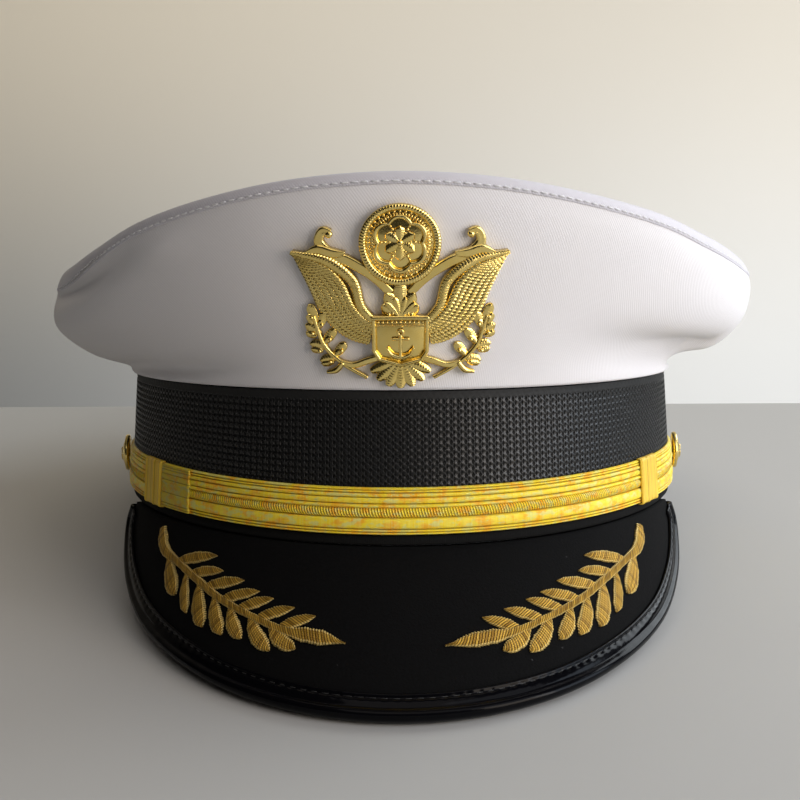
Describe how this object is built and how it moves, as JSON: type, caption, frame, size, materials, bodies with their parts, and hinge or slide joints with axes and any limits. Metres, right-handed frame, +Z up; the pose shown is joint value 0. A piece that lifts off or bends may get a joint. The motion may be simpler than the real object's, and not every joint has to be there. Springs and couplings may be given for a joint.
{
  "type": "peaked uniform cap",
  "caption": "White peaked uniform cap with a flared oval crown, black mesh band, gold braid strap, pierced gilt badge and black peak with gold leaf sprays.",
  "frame": {"origin": "centre of the bounding box's base, on the surface that the cap rests on", "axes": "+Z up, +Y towards the back of the cap, with the peak at -Y, +X to the right as seen from the front"},
  "size_m": [0.231, 0.2884, 0.132],
  "materials": {
    "white_cloth": "matt twill",
    "black_cloth": "matt felted cloth",
    "black_mesh": "woven mesh",
    "gold_braid": "shiny ribbed braid",
    "gilt_metal": "polished gilt",
    "gold_thread": "satin-stitched metallic thread",
    "patent_leather": "glossy patent"
  },
  "bodies": {
    "root": {"crown_side": "white_cloth", "crown_top": "white_cloth", "band_core": "black_cloth", "mesh_band": "black_mesh", "chin_strap": "gold_braid", "slide_left": "gold_braid", "slide_right": "gold_braid", "button_left": "gilt_metal", "button_right": "gilt_metal", "visor": "black_cloth", "visor_binding": "patent_leather", "spray_left": "gold_thread", "spray_right": "gold_thread", "badge": "gilt_metal", "badge_post": "gilt_metal"}
  },
  "joints": []
}
